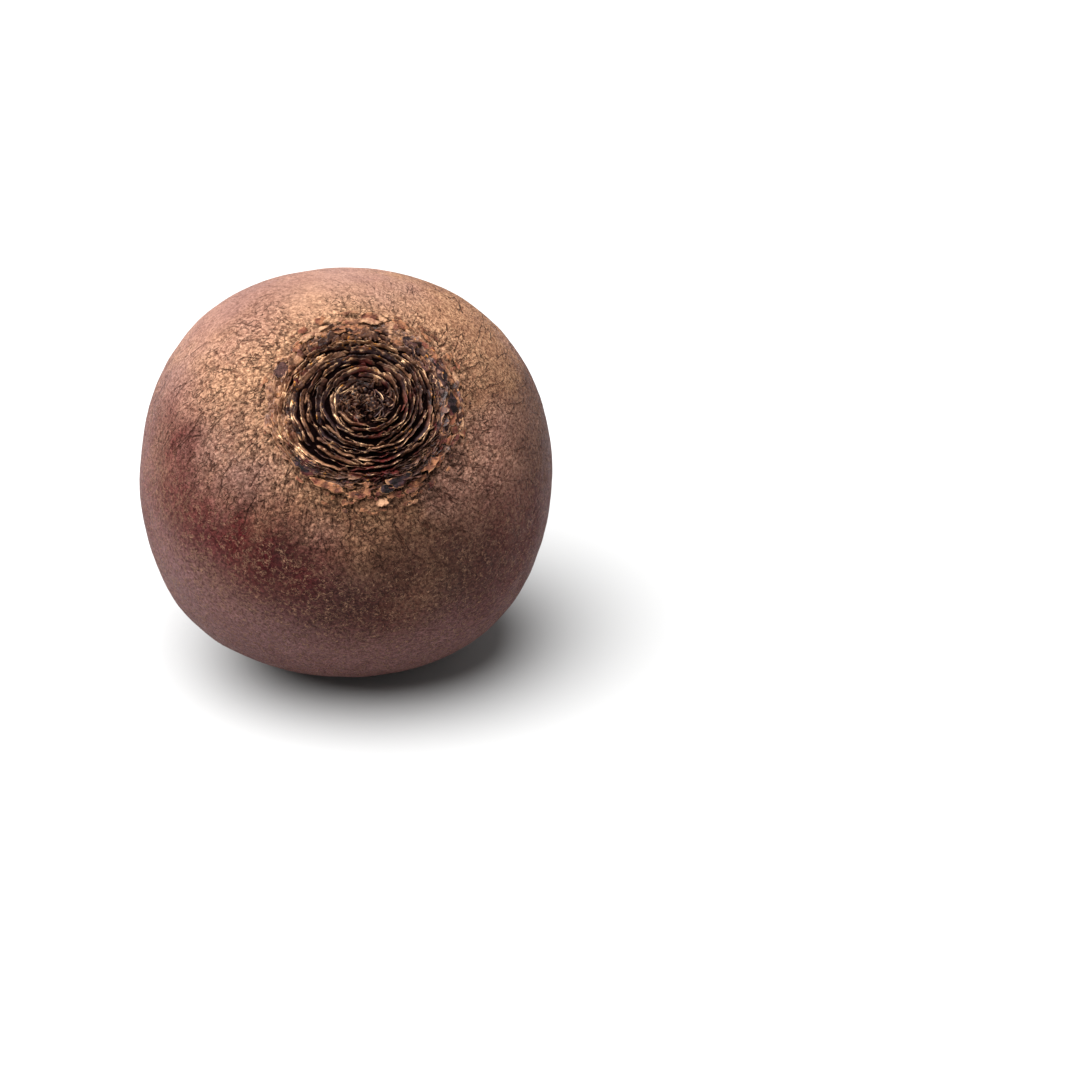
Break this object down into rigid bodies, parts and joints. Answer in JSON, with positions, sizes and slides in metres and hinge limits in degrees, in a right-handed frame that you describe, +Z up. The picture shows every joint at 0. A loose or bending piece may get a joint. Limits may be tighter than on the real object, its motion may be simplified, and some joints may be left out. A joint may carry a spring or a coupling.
{
  "type": "beetroot",
  "caption": "Whole globe beetroot lying on its side, with a corky crown of dried leaf bases and a thin curved taproot.",
  "frame": {"origin": "middle of the small flat spot on the underside that the beetroot rests on", "axes": "+Z up; the crown leans up towards -Y and the taproot lies along the surface towards +Y"},
  "size_m": [0.0809, 0.101, 0.0779],
  "materials": {
    "skin": "satin",
    "leaf_base": "matte"
  },
  "bodies": {
    "root": {"root": "skin", "crown": "leaf_base"}
  },
  "joints": []
}
